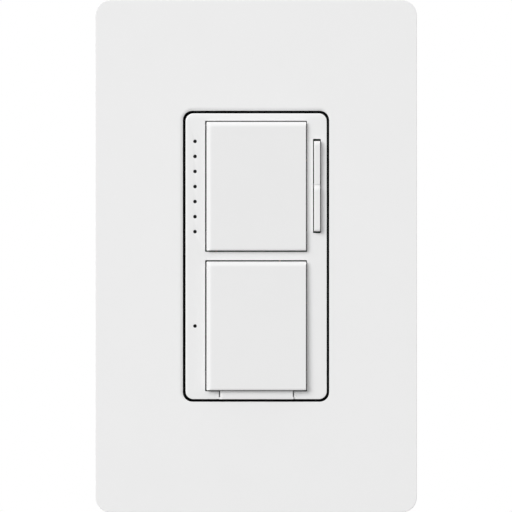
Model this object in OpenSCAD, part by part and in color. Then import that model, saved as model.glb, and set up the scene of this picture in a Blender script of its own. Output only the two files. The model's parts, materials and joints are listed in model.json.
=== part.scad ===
// Wall control with a dimming tap button, a raise/lower rocker and an on/off tap button.
// X runs to the right, Z up and Y into the wall. The wall plane is y = 0, so the front
// faces -Y and the rear housing lies in the wall box at y > 0.

/* [Wall plate] */
// Width of the wall plate
plate_w = 74.7; // [74:0.1:80]
// Height of the wall plate
plate_h = 119.1; // [118:0.1:124]
// Distance from the wall to the front of the plate
plate_depth = 7.6; // [7.4:0.1:8]
// Thickness of the plate's walls
plate_wall = 2; // [1.6:0.1:2.2]
// Corner radius of the plate's outline
plate_corner_r = 3.5; // [2:0.1:6]
// Rounding of the plate's front edge
plate_edge_r = 0.2; // [0.1:0.05:0.6]

/* [Plate opening] */
// Width of the opening for the insert
opening_w = 33.94; // [33.8:0.02:34.4]
// Height of the opening for the insert
opening_h = 67.6; // [67.4:0.1:68]
// Corner radius of the opening
opening_corner_r = 2.2; // [1.8:0.1:2.6]
// Width of the bevel round the opening
opening_bevel = 0.7; // [0.4:0.1:1]

/* [Insert] */
// Width of the insert's front frame
bezel_w = 32.86; // [32.7:0.02:33]
// Height of the insert's front frame
bezel_h = 66.46; // [66.4:0.02:66.7]
// Corner radius of the front frame
bezel_corner_r = 1.8; // [1.4:0.1:2]
// Distance from the wall to the front of the frame
bezel_depth = 7.7; // [7.6:0.1:7.8]

/* [Buttons] */
// Width of each tap button
button_w = 23.22; // [22.8:0.02:23.4]
// Height of each tap button
button_h = 29.94; // [29.6:0.02:30.1]
// Gap between a button and the frame
button_gap = 0.24; // [0.18:0.01:0.3]
// Height of the upper button's centre above the middle
dimmer_z = 16.28; // [16.2:0.01:16.3]
// Depth of the lower button's centre below the middle
switch_z = 16.2; // [16.1:0.01:16.3]
// How far the upper button stands proud of the frame
dimmer_proud = 1.2; // [0.8:0.1:1.4]
// How far the lower button stands proud of the frame
switch_proud = 1.7; // [0.8:0.1:1.8]
// Rounding along a button's left and top front edges
button_soft_r = 1.2; // [0.6:0.1:1.4]
// Rounding along a button's right and bottom front edges
button_crisp_r = 0.4; // [0.3:0.1:0.6]

/* [Rocker and lights] */
// Width of the rocker
rocker_w = 1.44; // [1.3:0.01:1.46]
// Height of the rocker
rocker_h = 21; // [20.6:0.1:21]
// Distance of the rocker's middle to the right of the centre
rocker_x = 14.13; // [14.1:0.01:14.16]
// Height of the rocker's middle
rocker_z = 16.33; // [16.3:0.01:16.36]
// How far the rocker stands proud of the frame
rocker_proud = 1.6; // [1.2:0.1:1.9]
// Distance of the lights to the left of the centre
light_x = 14.23; // [14.2:0.01:14.26]
// Height of the lowest level light
light_z0 = 5.7; // [5.6:0.05:5.8]
// Distance from one level light to the next
light_pitch = 3.5; // [3.4:0.05:3.55]
// Height of the on/off light, below the middle
switch_light_z = -16.24; // [-16.3:0.02:-16.2]
// Radius of each light hole
light_hole_r = 0.41; // [0.36:0.01:0.5]

/* [Service tab] */
// Width of the service tab's front
tab_w = 17; // [16:0.1:17.1]
// Gap at each side of the service tab's front
tab_gap = 0.15; // [0.1:0.01:0.2]
// How far the service tab stands proud of the frame
tab_proud = 0.5; // [0:0.1:0.5]

/* [Yoke and housing] */
// Thickness of the metal yoke
yoke_t = 1.6; // [1.4:0.1:1.6]
// Height of the yoke between the ends of its ears
yoke_h = 105.5; // [104:0.5:108]
// Width of the rear housing
housing_w = 44; // [43.6:0.2:44.4]
// Height of the rear housing
housing_h = 69.6; // [69.4:0.2:70]
// Depth of the rear housing behind the wall plane
housing_d = 33; // [32:0.5:36]
// Distance between the wall box's screw holes
box_screw_pitch = 83.34; // [83.3:0.01:83.4]
// Distance between the plate's screw holes
plate_screw_pitch = 96.84; // [96.8:0.01:96.9]

/* [Hidden] */
$fn = 48;
eps = 0.02;

// Levels along Y, from the front to the back
plate_face_y = -plate_depth;
bezel_face_y = -bezel_depth;
dimmer_face_y = bezel_face_y - dimmer_proud;
switch_face_y = bezel_face_y - switch_proud;
rocker_face_y = bezel_face_y - rocker_proud;
yoke_face_y = -yoke_t;
adapter_t = 1.4;
adapter_face_y = yoke_face_y - adapter_t;
board_t = 1.2;
control_y = 0.4;
control_back_y = control_y + board_t;
power_y = 14;
power_board_t = 1.6;
power_back_y = power_y + power_board_t;
housing_wall = 1.8;
housing_inner_y = housing_d - housing_wall;

// Front frame
face_t = 1.8;
face_back_y = bezel_face_y + face_t;
rib_t = 1.2;
rib_back_y = -3.4;
side_wall = 1.4;
bezel_edge_r = 0.4;
aperture_w = button_w + 2 * button_gap;
aperture_h = button_h + 2 * button_gap;
aperture_low_z = -switch_z - aperture_h / 2;
inner_top_z = dimmer_z + aperture_h / 2;
slot_w = rocker_w + 0.34;
slot_h = rocker_h + 0.9;

// Button hinges
hinge_y = -5;
hinge_drop = 1.1;
hinge_pin_r = 0.8;
hinge_pin_end = 12.95;
running_gap = 0.05;
key_arm = 10;
dimmer_hinge_z = dimmer_z + button_h / 2 - hinge_drop;
switch_hinge_z = -switch_z + button_h / 2 - hinge_drop;
skirt_back_y = -3.6;
cap_t = 1.6;
key_top_y = -2.25;
touch_gap = 0.03;
spring_r = 1.6;
spring_wire_r = 0.22;
dimmer_spring_z = dimmer_z - 11.5;
switch_spring_z = -switch_z - 8.75;

// Rocker pivot and its two keys
pivot_y = -5.6;
pivot_pin_r = 0.6;
pivot_pin_reach = 1.7;
pivot_bore_reach = 1.76;
rocker_key_arm = 7;
rocker_free_gap = 0.42;

// Service tab
blade_w = 10;
blade_z0 = -32.5;
blade_z1 = -31.6;
blade_end_y = 9;
contact_t = 0.8;
tab_front_t = 1.5;

// Boards: the control board has a narrow top and a tongue at its lower left
board_w = 39;
control_z0 = -16;
board_z1 = 26;
power_z0 = -26;
control_top_z = 27.5;
control_top_w = 30.4;
tongue_z = -17.6;
window_w = 31.2;
window_z0 = -18.4;
window_z1 = 31;
boss_x = 18.2;
boss_z = 31;
terminal_y = 11;
right_terminals = [-15, 0, 15];
left_terminals = [-7.5, 7.5];

// Earth screw, power device and choke
earth_x = 10.5;
earth_z = -45.8;
triac_x0 = -9;
triac_z = -23;
triac_y = 0.3;
triac_hole_x = triac_x0 + 2.8;
choke_x = 7.6;
choke_z = 13;
core_y0 = 16.9;
core_y1 = 24.5;
core_r0 = 4.6;
core_r1 = 9.6;

// ---------- shared shapes ----------

// A rectangle with round corners, centred
module round_rect(w, h, r) {
    square([w - 2 * r, h], center = true);
    square([w, h - 2 * r], center = true);
    for (x = [-1, 1], z = [-1, 1])
        translate([x * (w / 2 - r), z * (h / 2 - r)]) circle(r);
}

// An outline drawn as seen from the front, made solid from depth y0 back to y1
module slab(y0, y1) {
    translate([0, y1, 0]) rotate([90, 0, 0]) linear_extrude(y1 - y0) children();
}

// A box given by its lowest and highest corners
module block(low, high) {
    translate(low) cube(high - low);
}

// A round bar along Y
module bar_y(r, y0, y1) {
    translate([0, y1, 0]) rotate([90, 0, 0]) cylinder(r = r, h = y1 - y0);
}

// A round bar along X
module bar_x(r, x0, x1) {
    translate([x0, 0, 0]) rotate([0, 90, 0]) cylinder(r = r, h = x1 - x0);
}

// A profile of length w whose front corners, at y0, are rounded: e[0] on the low side, e[1]
// on the high side
module eased_profile(w, y0, y1, e) {
    translate([-w / 2, y0 + e[0]]) square([w / 2, y1 - y0 - e[0]]);
    translate([0, y0 + e[1]]) square([w / 2, y1 - y0 - e[1]]);
    translate([-w / 2 + e[0], y0]) square([w - e[0] - e[1], y1 - y0]);
    translate([-w / 2 + e[0], y0 + e[0]]) circle(e[0]);
    translate([w / 2 - e[1], y0 + e[1]]) circle(e[1]);
}

// A plate whose outline has corners of radius r. Its front edges are rounded: sides gives the
// left and right radius, ends the bottom and top one.
module eased_plate(w, h, r, y0, y1, sides, ends) {
    intersection() {
        slab(y0, y1) round_rect(w, h, r);
        linear_extrude(h + 2, center = true) eased_profile(w, y0, y1 + 1, sides);
        rotate([90, 0, 90]) linear_extrude(w + 2, center = true)
            mirror([1, -1, 0]) eased_profile(h, y0, y1 + 1, ends);
    }
}

// A screw along Y: head in front of the seat, shank behind it, with a straight slot
module front_screw(head_r, head_t, shank_r, seat_y, end_y) {
    slot_half = 0.5;
    difference() {
        bar_y(head_r, seat_y - head_t, seat_y);
        block([-head_r - 1, seat_y - head_t - 1, -slot_half],
              [head_r + 1, seat_y - head_t / 2, slot_half]);
    }
    bar_y(shank_r, seat_y - eps, end_y);
}

// A coil spring along Y, as one swept wire
module coil_spring(r, wire_r, y0, y1, turns) {
    sides = 8;
    steps = 16 * turns;
    rise = (y1 - y0 - 2 * wire_r) / steps;
    function ring_point(i, j) =
        let (a = 360 * i / 16, b = 360 * j / sides, q = r + wire_r * cos(b))
        [q * cos(a), y0 + wire_r + rise * i + wire_r * sin(b), q * sin(a)];
    points = [for (i = [0:steps], j = [0:sides - 1]) ring_point(i, j)];
    walls = [for (i = [0:steps - 1], j = [0:sides - 1])
        let (k = (j + 1) % sides)
        [i * sides + j, i * sides + k, (i + 1) * sides + k, (i + 1) * sides + j]];
    first = [[for (j = [0:sides - 1]) sides - 1 - j]];
    last = [[for (j = [0:sides - 1]) steps * sides + j]];
    polyhedron(points, concat(walls, first, last), convexity = 6);
}

// ---------- wall plate ----------

// Snap-on plate: a shallow tray with a window that has a short return wall
module wallplate_cover() {
    lip_wall = 1.2;
    lip_back_y = -3.6;
    rib_w = 8;
    rib_h = 0.9;
    rib_y0 = -1.4;
    rib_y1 = -0.6;
    inner_w = plate_w - 2 * plate_wall;
    inner_h = plate_h - 2 * plate_wall;
    color("whitesmoke") {
        difference() {
            eased_plate(plate_w, plate_h, plate_corner_r, plate_face_y, 0,
                        [plate_edge_r, plate_edge_r], [plate_edge_r, plate_edge_r]);
            difference() {
                slab(plate_face_y + plate_wall, 1)
                    round_rect(inner_w, inner_h, plate_corner_r - plate_wall + 0.5);
                slab(plate_face_y, lip_back_y)
                    round_rect(opening_w + 2 * lip_wall, opening_h + 2 * lip_wall,
                               opening_corner_r + lip_wall);
            }
            slab(plate_face_y - 1, 2) round_rect(opening_w, opening_h, opening_corner_r);
            // Bevel round the opening, as a stepped pair of cuts
            for (step = [1, 2])
                slab(plate_face_y - 1, plate_face_y + opening_bevel * (3 - step) / 6)
                    round_rect(opening_w + step * opening_bevel / 2,
                               opening_h + step * opening_bevel / 2,
                               opening_corner_r + step * opening_bevel / 4);
        }
        // Snap ribs inside the long and short walls
        for (side = [-1, 1]) {
            for (z = [-30, 30])
                translate([side * (inner_w / 2 - rib_h / 2 + eps), 0, z])
                    block([-rib_h / 2 - eps, rib_y0, -rib_w / 2],
                          [rib_h / 2 + eps, rib_y1, rib_w / 2]);
            for (x = [-18, 18])
                translate([x, 0, side * (inner_h / 2 - rib_h / 2 + eps)])
                    block([-rib_w / 2, rib_y0, -rib_h / 2 - eps],
                          [rib_w / 2, rib_y1, rib_h / 2 + eps]);
        }
    }
}

// Plate under the cover, screwed to the yoke, with notches where the cover's ribs pass
module wallplate_adapter() {
    edge_gap = 0.25;
    notch_w = 10;
    notch_d = 1.4;
    outer_w = plate_w - 2 * plate_wall - 2 * edge_gap;
    outer_h = plate_h - 2 * plate_wall - 2 * edge_gap;
    rim_w = 2;
    rim_y0 = adapter_face_y - 1.2;
    color("gainsboro") difference() {
        union() {
            slab(adapter_face_y, yoke_face_y) round_rect(outer_w, outer_h, 1.6);
            // Stiffening rim along the edge
            difference() {
                slab(rim_y0, adapter_face_y + eps)
                    round_rect(outer_w - 4, outer_h - 4, 1.4);
                slab(rim_y0 - 1, adapter_face_y + 1)
                    round_rect(outer_w - 4 - 2 * rim_w, outer_h - 4 - 2 * rim_w, 1);
            }
        }
        slab(rim_y0 - 1, 0) round_rect(opening_w + 3, opening_h + 3.4, 2.4);
        for (z = [-1, 1]) {
            translate([0, 0, z * box_screw_pitch / 2]) bar_y(4.4, rim_y0 - 1, 0);
            translate([0, 0, z * plate_screw_pitch / 2]) bar_y(1.95, rim_y0 - 1, 0);
        }
        for (side = [-1, 1]) {
            for (z = [-30, 30])
                translate([side * outer_w / 2, 0, z])
                    block([-notch_d, rim_y0 - 1, -notch_w / 2], [notch_d, 0, notch_w / 2]);
            for (x = [-18, 18])
                translate([x, 0, side * outer_h / 2])
                    block([-notch_w / 2, rim_y0 - 1, -notch_d], [notch_w / 2, 0, notch_d]);
        }
    }
}

// The two screws that hold the adapter to the yoke
module adapter_screws() {
    color("silver") for (z = [-1, 1])
        translate([0, 0, z * plate_screw_pitch / 2])
            front_screw(3, 1.5, 1.7, adapter_face_y, 5);
}

// ---------- yoke ----------

// Metal strap with ears for the wall box and wide fins that carry heat away
module mounting_yoke() {
    fin_w = 63;
    fin_h = 66;
    score_x = [25, 28.4];
    score_d = 0.4;
    color("silver") difference() {
        slab(yoke_face_y, 0) {
            round_rect(30, yoke_h, 2);
            round_rect(44.5, 92, 2);
            round_rect(fin_w, fin_h, 2);
        }
        // Window for the buttons' works
        translate([0, 0, (window_z0 + window_z1) / 2])
            slab(yoke_face_y - 1, 1) round_rect(window_w, window_z1 - window_z0, 1.5);
        // Slot for the service tab's blade
        block([-blade_w / 2 - 0.1, yoke_face_y - 1, blade_z0 - 0.1],
              [blade_w / 2 + 0.1, 1, blade_z1 + 0.1]);
        // Oval holes for the box screws, round threaded holes for the adapter screws
        for (z = [-1, 1]) {
            translate([0, 0, z * box_screw_pitch / 2])
                slab(yoke_face_y - 1, 1) round_rect(8, 4.2, 2.05);
            translate([0, 0, z * plate_screw_pitch / 2]) bar_y(1.75, yoke_face_y - 1, 1);
        }
        for (x = [-1, 1], z = [-1, 1])
            translate([x * boss_x, 0, z * boss_z]) bar_y(1.2, yoke_face_y - 1, 1);
        translate([triac_hole_x, 0, triac_z]) bar_y(1.45, yoke_face_y - 1, 1);
        translate([earth_x, 0, earth_z]) bar_y(1.75, yoke_face_y - 1, 1);
        // Centre marks in the ends
        for (z = [-1, 1])
            translate([0, 0, z * yoke_h / 2]) block([-0.6, yoke_face_y - 1, -1], [0.6, 1, 1]);
        // Score lines where the fins break off beside another device
        for (side = [-1, 1], x = score_x)
            block([side * x - 0.3, yoke_face_y - 1, -fin_h],
                  [side * x + 0.3, yoke_face_y + score_d, fin_h]);
    }
}

// Box screws: a plain neck in the yoke and a full thread behind it
module box_screws() {
    color("lightgray") for (z = [-1, 1])
        translate([0, 0, z * box_screw_pitch / 2]) {
            front_screw(3.6, 2, 1.5, yoke_face_y, eps);
            bar_y(1.75, 0, 25);
        }
}

// Green earth screw, head behind the yoke
module ground_screw() {
    head_y = 0.9;
    color("green") translate([earth_x, 0, earth_z]) {
        difference() {
            bar_y(3.4, head_y, head_y + 1.8);
            block([-4, head_y + 1, -0.5], [4, head_y + 3, 0.5]);
        }
        bar_y(1.7, yoke_face_y, head_y + eps);
    }
}

// ---------- insert ----------

// Front frame: face, side walls that stand on the yoke, and ribs that hold the hinges
module front_bezel() {
    rib_x = aperture_w / 2;
    bridge_z0 = -switch_z + aperture_h / 2;
    bridge_z1 = dimmer_z - aperture_h / 2;
    slot_x0 = rocker_x - slot_w / 2;
    notch_w = tab_w + 2 * tab_gap;
    color("white") difference() {
        union() {
            eased_plate(bezel_w, bezel_h, bezel_corner_r, bezel_face_y, face_back_y,
                        [bezel_edge_r, bezel_edge_r], [bezel_edge_r, bezel_edge_r]);
            difference() {
                slab(face_back_y - eps, yoke_face_y)
                    round_rect(bezel_w, bezel_h, bezel_corner_r);
                slab(face_back_y - 1, yoke_face_y + 1)
                    round_rect(bezel_w - 2 * side_wall, 2 * inner_top_z, 0.5);
            }
            for (side = [-1, 1])
                translate([side * (rib_x + rib_t / 2), 0, 0])
                    block([-rib_t / 2, face_back_y - eps, -inner_top_z - eps],
                          [rib_t / 2, rib_back_y, inner_top_z + eps]);
            block([-rib_x - eps, face_back_y - eps, bridge_z0],
                  [rib_x + eps, rib_back_y, bridge_z1]);
            // Boss beside the rocker's pivot
            block([rib_x + rib_t - eps, face_back_y - eps, rocker_z - 3],
                  [slot_x0, rib_back_y - 0.8, rocker_z + 3]);
        }
        for (z = [-switch_z, dimmer_z])
            translate([0, 0, z])
                slab(bezel_face_y - 1, 0) round_rect(aperture_w, aperture_h, 0.3);
        // Light holes
        for (z = concat([for (i = [0:6]) light_z0 + i * light_pitch], [switch_light_z]))
            translate([-light_x, 0, z]) bar_y(light_hole_r, bezel_face_y - 1, face_back_y + 1);
        // Rocker slot
        block([slot_x0, bezel_face_y - 1, rocker_z - slot_h / 2],
              [slot_x0 + slot_w, face_back_y + 1, rocker_z + slot_h / 2]);
        // Notch for the service tab: wide at the face, narrow for the blade behind it
        block([-notch_w / 2, bezel_face_y - 1, -bezel_h / 2 - 1],
              [notch_w / 2, bezel_face_y + tab_front_t + 0.1, aperture_low_z + 0.3]);
        block([-blade_w / 2 - 0.1, bezel_face_y, blade_z0 - 0.1],
              [blade_w / 2 + 0.1, 0, aperture_low_z + 0.3]);
        // Bores through the ribs for the hinge pins, and blind ones for the rocker's pivot
        for (z = [dimmer_hinge_z, switch_hinge_z])
            translate([0, hinge_y, z])
                bar_x(hinge_pin_r + running_gap, -rib_x - rib_t - 0.1, rib_x + rib_t + 0.1);
        translate([rocker_x, pivot_y, rocker_z])
            bar_x(pivot_pin_r + running_gap, -pivot_bore_reach, pivot_bore_reach);
    }
}

// A tap button with its skirt, hinge pins, key post, spring guide and side hooks.
// Its origin is the middle of the button; hinge_z and spring_z are seen from there.
module tap_button(face_y, hinge_z, spring_z) {
    cap_back_y = face_y + cap_t;
    skirt_t = 1.2;
    hook_z = -12;
    hook_w = 3;
    hook_y0 = rib_back_y + 0.05;
    hook_y1 = -2.6;
    hook_x = 12.6;
    post_r = 1.2;
    guide_r = 1;
    half_w = button_w / 2;
    difference() {
        eased_plate(button_w, button_h, 0.4, face_y, skirt_back_y,
                    [button_soft_r, button_crisp_r], [button_crisp_r, button_soft_r]);
        slab(cap_back_y, skirt_back_y + 1)
            square([button_w - 2 * skirt_t, button_h - 2 * skirt_t], center = true);
    }
    for (side = [-1, 1]) {
        translate([0, hinge_y, hinge_z])
            bar_x(hinge_pin_r, side > 0 ? half_w - skirt_t / 2 : -hinge_pin_end,
                  side > 0 ? hinge_pin_end : -half_w + skirt_t / 2);
        // Side hooks that stop the button from swinging out
        block([side > 0 ? half_w - skirt_t : -half_w, skirt_back_y - 0.5, hook_z - hook_w / 2],
              [side > 0 ? half_w : -half_w + skirt_t, hook_y1, hook_z + hook_w / 2]);
        block([side > 0 ? half_w - 0.4 : -hook_x, hook_y0, hook_z - hook_w / 2],
              [side > 0 ? hook_x : -half_w + 0.4, hook_y1, hook_z + hook_w / 2]);
    }
    translate([0, 0, hinge_z - key_arm])
        bar_y(post_r, cap_back_y - eps, key_top_y - touch_gap);
    translate([0, 0, spring_z]) bar_y(guide_r, cap_back_y - eps, -4);
}

module dimmer_button() {
    color("white") translate([0, 0, dimmer_z])
        tap_button(dimmer_face_y, dimmer_hinge_z - dimmer_z, dimmer_spring_z - dimmer_z);
}

module switch_button() {
    color("white") translate([0, 0, -switch_z])
        tap_button(switch_face_y, switch_hinge_z + switch_z, switch_spring_z + switch_z);
}

// The dimmer button's spring stands on the control board, the other one on the yoke
module dimmer_button_spring() {
    color("silver") translate([0, 0, dimmer_spring_z])
        coil_spring(spring_r, spring_wire_r, dimmer_face_y + cap_t, control_y, 5);
}

module switch_button_spring() {
    color("silver") translate([0, 0, switch_spring_z])
        coil_spring(spring_r, spring_wire_r, switch_face_y + cap_t, yoke_face_y, 4);
}

// Thin rocker with a shallow valley in the middle, steep above and long below
module dim_rocker() {
    foot_h = 2.4;
    back_y = -4.2;
    edge_r = 0.3;
    valley = 0.3;
    valley_up = 0.45;
    valley_down = 1.2;
    foot_y = key_top_y - rocker_free_gap;
    color("white") translate([rocker_x, 0, rocker_z]) {
        difference() {
            eased_plate(rocker_w, rocker_h, 0.15, rocker_face_y, back_y,
                        [edge_r, edge_r], [edge_r, edge_r]);
            rotate([90, 0, 90]) linear_extrude(4, center = true)
                polygon([[rocker_face_y - 1, -valley_down], [rocker_face_y, -valley_down],
                         [rocker_face_y + valley, 0], [rocker_face_y, valley_up],
                         [rocker_face_y - 1, valley_up]]);
        }
        for (z = [-1, 1])
            translate([0, 0, z * rocker_key_arm])
                block([-rocker_w / 2, back_y - eps, -foot_h / 2],
                      [rocker_w / 2, foot_y, foot_h / 2]);
        translate([0, pivot_y, 0]) bar_x(pivot_pin_r, -pivot_pin_reach, pivot_pin_reach);
    }
}

// Pull-out service tab: a finger piece at the face on a flat blade that reaches inside
module service_tab() {
    top_z = aperture_low_z;
    bottom_z = -bezel_h / 2;
    color("white") {
        block([-tab_w / 2, bezel_face_y - tab_proud, bottom_z],
              [tab_w / 2, bezel_face_y + tab_front_t, top_z]);
        block([-blade_w / 2, bezel_face_y + tab_front_t - eps, blade_z0],
              [blade_w / 2, blade_end_y, blade_z1]);
    }
}

// ---------- service switch ----------

// Bridge that the service tab's blade carries
module airgap_bridge_contact() {
    color("goldenrod") {
        block([-7, blade_end_y, blade_z0], [7, blade_end_y + contact_t, -28.8]);
        block([-blade_w / 2, blade_end_y - 2, blade_z1],
              [blade_w / 2, blade_end_y + eps, blade_z1 + 0.5]);
    }
}

// Two fixed contacts on the power board that the bridge joins at rest
module airgap_fixed_contacts() {
    color("goldenrod") for (side = [-1, 1])
        translate([side * 5.75, 0, 0]) {
            block([-1.25, power_y - contact_t, -31.6], [1.25, power_y, -23.5]);
            translate([0, 0, -30.5])
                bar_y(1.1, blade_end_y + contact_t + 0.02, power_y - contact_t + eps);
        }
}

// ---------- lights ----------

// Clear bar behind the frame's face with one pin up each light hole
module light_pipe(pins, z0, z1, feet) {
    bar_w = 1.5;
    bar_y0 = -4.4;
    bar_y1 = -1.9;
    pin_r = light_hole_r - 0.04;
    pin_tip_y = bezel_face_y + 0.45;
    block([-bar_w / 2, bar_y0, z0], [bar_w / 2, bar_y1, z1]);
    for (z = pins) translate([0, 0, z]) bar_y(pin_r, pin_tip_y, bar_y0 + eps);
    for (z = feet)
        block([-bar_w / 2, bar_y1 - eps, z - 0.4], [bar_w / 2, control_y, z + 0.4]);
}

module level_light_pipe() {
    pins = [for (i = [0:6]) light_z0 + i * light_pitch];
    color("lightcyan") translate([-light_x, 0, 0])
        light_pipe(pins, light_z0 - 1.6, pins[6] + 0.8,
                   [light_z0 - 1.1, pins[5] + light_pitch / 2]);
}

module switch_light_pipe() {
    color("lightcyan") translate([-light_x, 0, 0])
        light_pipe([switch_light_z], switch_light_z - 0.9, switch_light_z + 2,
                   [switch_light_z + 1.5]);
}

// One surface-mount light on the control board
module led_chip() {
    block([-0.5, control_y - 0.8, -0.4], [0.5, control_y, 0.4]);
}

module level_leds() {
    color("ivory") for (i = [0:6])
        translate([-light_x, 0, light_z0 + i * light_pitch]) led_chip();
}

module switch_led() {
    color("ivory") translate([-light_x, 0, switch_light_z]) led_chip();
}

// ---------- boards ----------

// Control board behind the yoke's window, with notched upper corners and a tongue
module control_board() {
    color("darkgreen") slab(control_y, control_back_y) {
        translate([-board_w / 2, control_z0]) square([board_w, board_z1 - control_z0]);
        translate([-control_top_w / 2, control_z0])
            square([control_top_w, control_top_z - control_z0]);
        translate([-board_w / 2, tongue_z]) square([7, control_z0 - tongue_z + 1]);
    }
}

// Controller with a row of legs on each side
module controller_chip() {
    chip = 9;
    chip_t = 1.2;
    legs = 8;
    pitch = 0.8;
    leg_w = 0.35;
    color("dimgray") translate([-7, control_back_y, 10]) {
        block([-chip / 2, 0.1, -chip / 2], [chip / 2, chip_t, chip / 2]);
        for (turn = [0, 90, 180, 270], i = [0:legs - 1])
            rotate([0, turn, 0]) translate([(i - (legs - 1) / 2) * pitch, 0, chip / 2])
                block([-leg_w / 2, 0, -eps], [leg_w / 2, 0.3, 1]);
    }
}

// Small parts on the back of the control board
module control_parts() {
    color("saddlebrown") for (row = [0:2], i = [0:3])
        translate([4 + i * 3.2, control_back_y, 4 + row * 5])
            block([-1, 0, -0.6], [1, 0.7, 0.6]);
}

// A square key switch: a body with a blind bore, on the control board
module key_body(w, h, bore_r) {
    body_y = -1.4;
    difference() {
        block([-w / 2, body_y, -h / 2], [w / 2, control_y, h / 2]);
        bar_y(bore_r, body_y - 1, 0);
    }
}

module key_plunger(r) {
    bar_y(r, key_top_y, -0.4);
}

module dimmer_key_body() {
    color("dimgray") translate([0, 0, dimmer_hinge_z - key_arm]) key_body(6, 6, 1.05);
}

module dimmer_key_plunger() {
    color("black") translate([0, 0, dimmer_hinge_z - key_arm]) key_plunger(1);
}

module switch_key_body() {
    color("dimgray") translate([0, 0, switch_hinge_z - key_arm]) key_body(6, 6, 1.05);
}

module switch_key_plunger() {
    color("black") translate([0, 0, switch_hinge_z - key_arm]) key_plunger(1);
}

module raise_key_body() {
    color("dimgray") translate([rocker_x, 0, rocker_z + rocker_key_arm])
        key_body(2.8, 4.2, 0.65);
}

module raise_key_plunger() {
    color("black") translate([rocker_x, 0, rocker_z + rocker_key_arm]) key_plunger(0.6);
}

module lower_key_body() {
    color("dimgray") translate([rocker_x, 0, rocker_z - rocker_key_arm])
        key_body(2.8, 4.2, 0.65);
}

module lower_key_plunger() {
    color("black") translate([rocker_x, 0, rocker_z - rocker_key_arm]) key_plunger(0.6);
}

// Pin header that joins the two boards
module board_header() {
    half_w = 8;
    half_h = 1.3;
    pin = 0.32;
    pins = 6;
    pitch = 2.54;
    color("black") translate([0, 0, -10]) {
        block([-half_w, control_back_y, -half_h], [half_w, control_back_y + 5, half_h]);
        block([-half_w, power_y - 3, -half_h], [half_w, power_y, half_h]);
        for (i = [0:pins - 1])
            translate([(i - (pins - 1) / 2) * pitch, 0, 0])
                block([-pin, control_back_y + 4, -pin], [pin, power_y - 2, pin]);
    }
}

// Frame that keeps the boards apart
module board_carrier() {
    ring_w = 38;
    ring_t = 1.5;
    low_z = control_z0 + 0.5;
    high_z = board_z1 - 0.5;
    color("lightgray") translate([0, 0, (low_z + high_z) / 2]) difference() {
        slab(control_back_y, power_y) round_rect(ring_w, high_z - low_z, 1.5);
        slab(0, power_y + 1)
            round_rect(ring_w - 2 * ring_t, high_z - low_z - 2 * ring_t, 0.5);
        // Vents in the long sides
        for (z = [-12, 0, 12])
            block([-ring_w, control_back_y + 3, z - 3], [ring_w, power_y - 3, z + 3]);
    }
}

module power_board() {
    color("darkgreen") slab(power_y, power_back_y)
        translate([-board_w / 2, power_z0]) square([board_w, board_z1 - power_z0]);
}

// ---------- rear housing ----------

// One terminal's place on the side wall: the shallow pocket, the leg's slot and the screw hole
module terminal_cut() {
    pocket_x = housing_w / 2 - 1;
    block([pocket_x, terminal_y - 4.3, -4.2], [pocket_x + 2, terminal_y + 5.6, 4.2]);
    block([housing_w / 2 - 4, power_back_y - 0.1, -1.9], [pocket_x + 1, power_back_y + 0.9, 1.9]);
    translate([0, terminal_y, 0]) bar_x(2, housing_w / 2 - 4, housing_w / 2 + 1);
}

// Repeats its children at each terminal, drawn for the right-hand side
module each_terminal() {
    for (z = right_terminals) translate([0, 0, z]) children();
    for (z = left_terminals) translate([0, 0, z]) mirror([1, 0, 0]) children();
}

// Walls that stand out between the terminals, and low ribs on the top and bottom
module housing_ribs() {
    barrier_t = 1.6;
    barrier_x = housing_w / 2 + 3;
    rib_t = 1.2;
    rib_h = 0.5;
    for (z = [-22.5, -7.5, 7.5, 22.5])
        block([housing_w / 2 - 1, 4, z - barrier_t / 2], [barrier_x, 19, z + barrier_t / 2]);
    for (z = [-15, 0, 15])
        block([-barrier_x, 4, z - barrier_t / 2],
              [-housing_w / 2 + 1, 19, z + barrier_t / 2]);
    for (x = [-12, -4, 4, 12], side = [-1, 1])
        translate([x, 0, side * housing_h / 2])
            block([-rib_t / 2, 1, -rib_h], [rib_t / 2, housing_d - 3, rib_h]);
}

// Insulating box with a flange, four deep screw wells, board posts and terminal pockets
module rear_housing() {
    well_r = 2.4;
    well_floor_y = 8;
    boss_r = 3.4;
    flange_t = 1.6;
    flange_w = 0.6;
    recess_d = 0.4;
    color("darkslategray") difference() {
        union() {
            difference() {
                union() {
                    slab(0, housing_d) round_rect(housing_w, housing_h, 3);
                    slab(0, flange_t)
                        round_rect(housing_w + 2 * flange_w, housing_h + 2 * flange_w,
                                   3 + flange_w);
                    housing_ribs();
                }
                slab(-1, housing_inner_y)
                    round_rect(housing_w - 2 * housing_wall, housing_h - 2 * housing_wall, 1.5);
                // Shallow panel in the back
                slab(housing_d - recess_d, housing_d + 1) round_rect(26, 44, 1.5);
            }
            for (x = [-1, 1], z = [-1, 1])
                translate([x * boss_x, 0, z * boss_z]) bar_y(boss_r, 0, housing_d - 1);
            for (post = [[-17.5, -5], [17.8, -22], [17.8, 24.4], [-17.5, 24.4]])
                translate([post[0], 0, post[1]]) bar_y(1.2, power_back_y, housing_d - 1);
        }
        for (x = [-1, 1], z = [-1, 1])
            translate([x * boss_x, 0, z * boss_z]) {
                bar_y(well_r, well_floor_y, housing_d + 1);
                bar_y(1.3, -1, well_floor_y + 1);
            }
        each_terminal() terminal_cut();
    }
}

// Four long screws, heads down the wells, threaded into the yoke
module housing_screws() {
    seat_y = 8;
    color("gray") for (x = [-1, 1], z = [-1, 1])
        translate([x * boss_x, 0, z * boss_z]) {
            difference() {
                bar_y(2.1, seat_y, seat_y + 1.6);
                block([-3, seat_y + 0.9, -0.35], [3, seat_y + 3, 0.35]);
            }
            bar_y(1.15, yoke_face_y, seat_y + eps);
        }
}

// ---------- power parts ----------

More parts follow.
